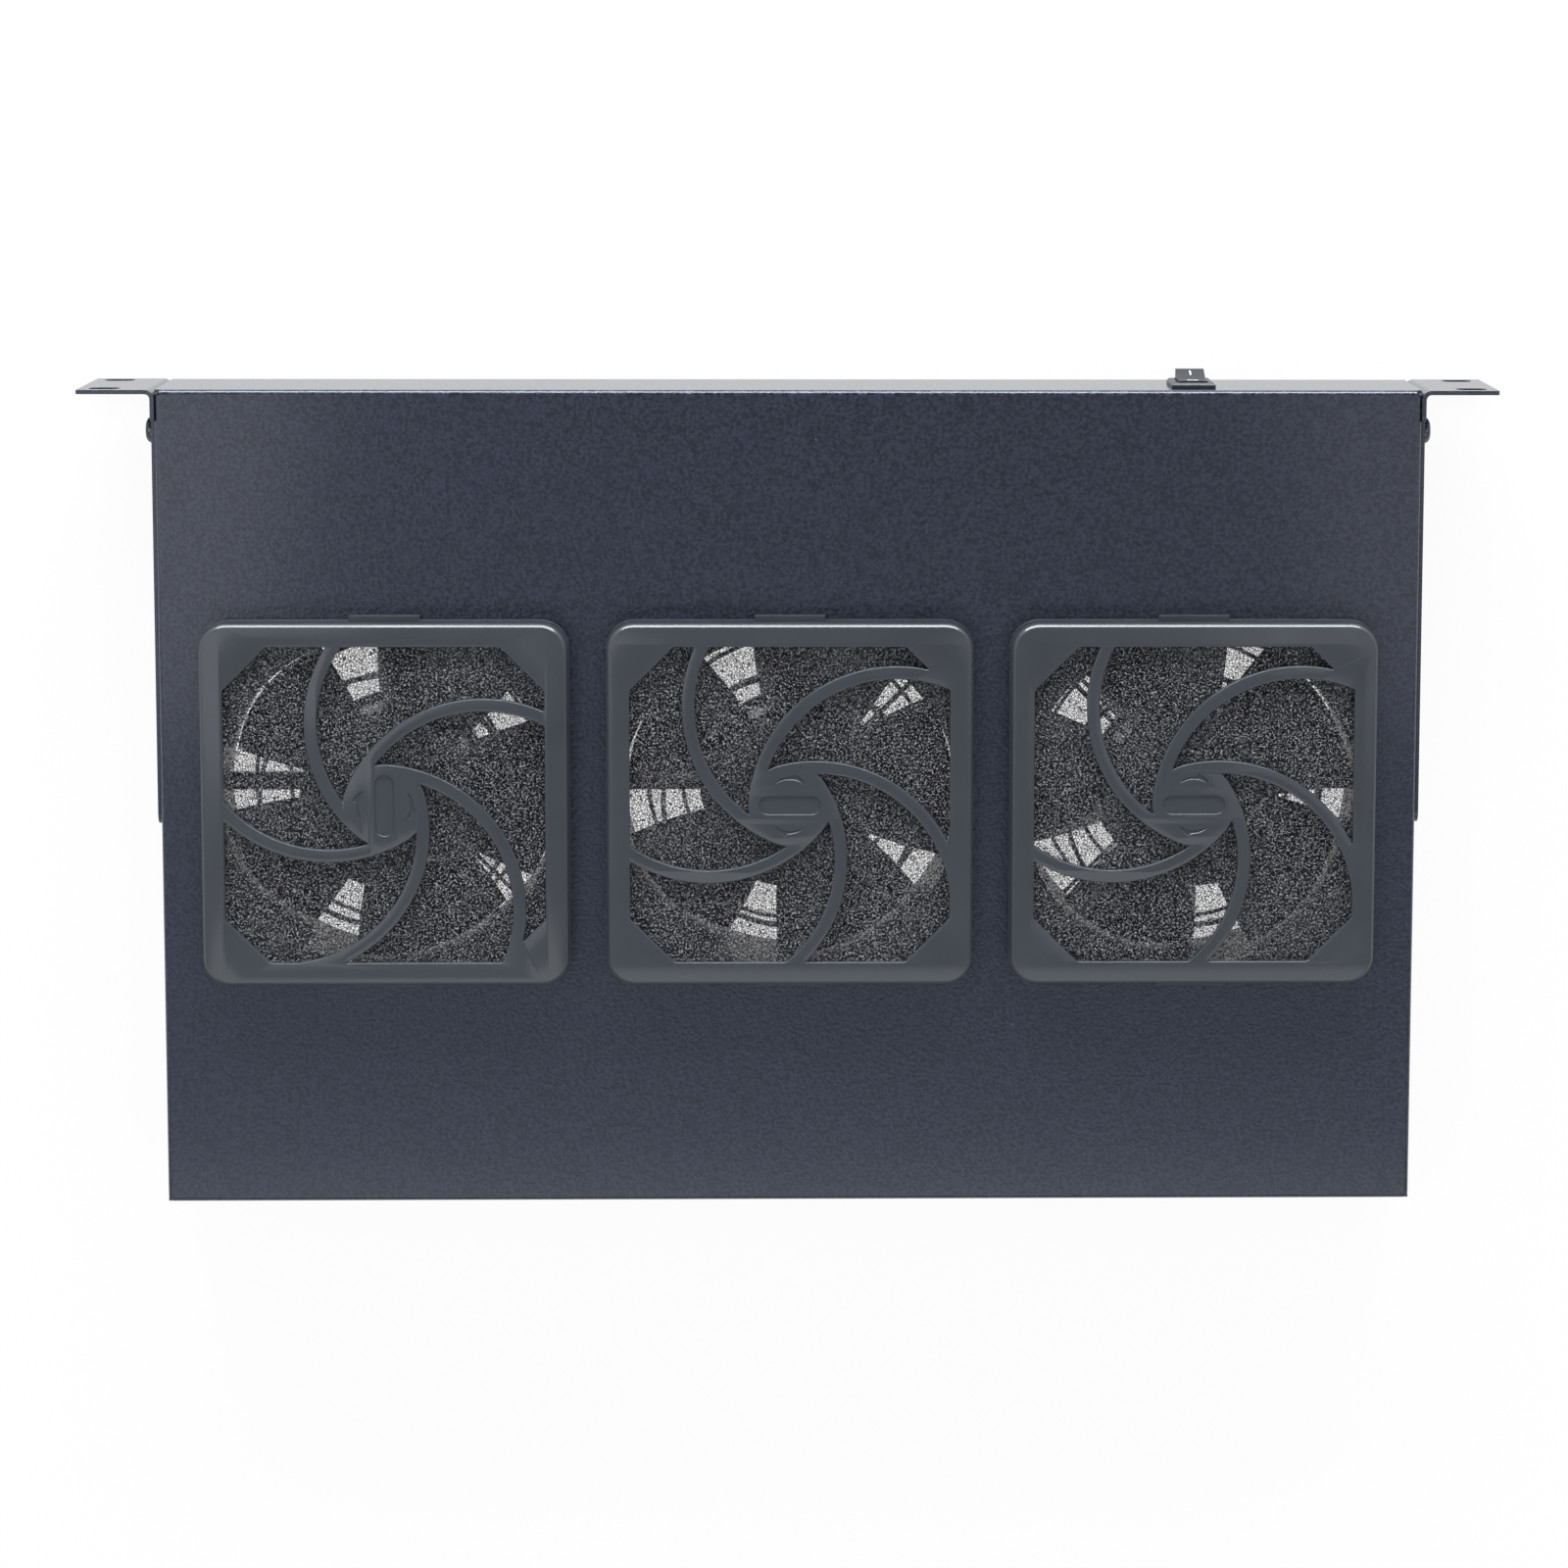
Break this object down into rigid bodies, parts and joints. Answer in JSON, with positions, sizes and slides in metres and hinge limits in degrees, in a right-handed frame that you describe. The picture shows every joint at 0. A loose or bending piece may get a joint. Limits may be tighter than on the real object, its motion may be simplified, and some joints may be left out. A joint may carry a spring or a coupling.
{
  "type": "rack fan tray",
  "caption": "One-unit rack fan tray: folded steel tray with slotted ears, axial fans under clip-on foam filter covers, rocker switch in front and power inlet at the rear.",
  "frame": {"origin": "centre of the rack-slot pattern, on the front faces of the ears, at half the tray's height", "axes": "+X to the right of the front panel, +Y into the rack, +Z out of the side that carries the filter covers"},
  "size_m": [0.4826, 0.2917, 0.054],
  "materials": {
    "tray_steel": "black textured powder coat",
    "ear_steel": "black textured powder coat",
    "black_screw": "black zinc",
    "zinc": "bright zinc",
    "die_cast": "black enamel on cast aluminium",
    "rotor_plastic": "satin black",
    "steel": "ground steel",
    "stator": "varnished laminations and coils",
    "guard_wire": "nickel-plated steel wire",
    "filter_plastic": "moulded black, fine grain",
    "foam": "open-pore polyurethane foam",
    "switch_plastic": "satin black",
    "brass": "plain",
    "inlet_plastic": "black",
    "insulation": "black",
    "block_plastic": "natural",
    "core_brown": "brown insulation",
    "core_earth": "green-yellow insulation"
  },
  "bodies": {
    "tray": {"tray_pan": "tray_steel", "left_rack_ear": "ear_steel", "right_rack_ear": "ear_steel", "ear_screws": "black_screw", "ear_nuts": "zinc", "fan_screws": "zinc", "fan_nuts": "zinc", "switch_housing": "switch_plastic", "switch_terminals": "brass", "switch_receptacles": "insulation", "power_inlet": "inlet_plastic", "inlet_pins": "brass", "inlet_screws": "black_screw", "inlet_nuts": "zinc", "inlet_boot": "insulation", "terminal_pad": "insulation", "terminal_block": "block_plastic", "terminal_screws": "zinc", "lead_saddles": "block_plastic", "earth_stud": "zinc", "earth_lug": "brass", "earth_nut": "zinc", "mains_lead": "insulation", "earth_core": "core_earth", "switch_cores": "core_brown", "left_fan_lead": "insulation", "middle_fan_lead": "insulation", "right_fan_lead": "insulation", "left_fan_frame": "die_cast", "left_fan_bearings": "steel", "left_fan_stator": "stator", "left_finger_guard": "guard_wire", "left_filter_base": "filter_plastic", "middle_fan_frame": "die_cast", "middle_fan_bearings": "steel", "middle_fan_stator": "stator", "middle_finger_guard": "guard_wire", "middle_filter_base": "filter_plastic", "right_fan_frame": "die_cast", "right_fan_bearings": "steel", "right_fan_stator": "stator", "right_finger_guard": "guard_wire", "right_filter_base": "filter_plastic"},
    "left_rotor": {"left_impeller": "rotor_plastic", "left_fan_shaft": "steel"},
    "middle_rotor": {"middle_impeller": "rotor_plastic", "middle_fan_shaft": "steel"},
    "right_rotor": {"right_impeller": "rotor_plastic", "right_fan_shaft": "steel"},
    "left_cover": {"left_filter_cover": "filter_plastic", "left_filter_foam": "foam"},
    "middle_cover": {"middle_filter_cover": "filter_plastic", "middle_filter_foam": "foam"},
    "right_cover": {"right_filter_cover": "filter_plastic", "right_filter_foam": "foam"},
    "rocker": {"switch_rocker": "switch_plastic"}
  },
  "joints": [
    {"name": "left_fan_spin", "type": "hinge", "parent": "tray", "child": "left_rotor", "pos_m": [-0.1378, 0.141, 0], "axis": [0, 0, 1], "continuous": true},
    {"name": "middle_fan_spin", "type": "hinge", "parent": "tray", "child": "middle_rotor", "pos_m": [0, 0.141, 0], "axis": [0, 0, 1], "continuous": true},
    {"name": "right_fan_spin", "type": "hinge", "parent": "tray", "child": "right_rotor", "pos_m": [0.1378, 0.141, 0], "axis": [0, 0, 1], "continuous": true},
    {"name": "left_cover_lift", "type": "slide", "parent": "tray", "child": "left_cover", "axis": [0, 0, 1], "range_m": [0, 0.03]},
    {"name": "middle_cover_lift", "type": "slide", "parent": "tray", "child": "middle_cover", "axis": [0, 0, 1], "range_m": [0, 0.03]},
    {"name": "right_cover_lift", "type": "slide", "parent": "tray", "child": "right_cover", "axis": [0, 0, 1], "range_m": [0, 0.03]},
    {"name": "switch_rock", "type": "hinge", "parent": "tray", "child": "rocker", "pos_m": [-0.1378, 0.001, 0.0045], "axis": [1, 0, 0], "range_deg": [0, 22]}
  ]
}
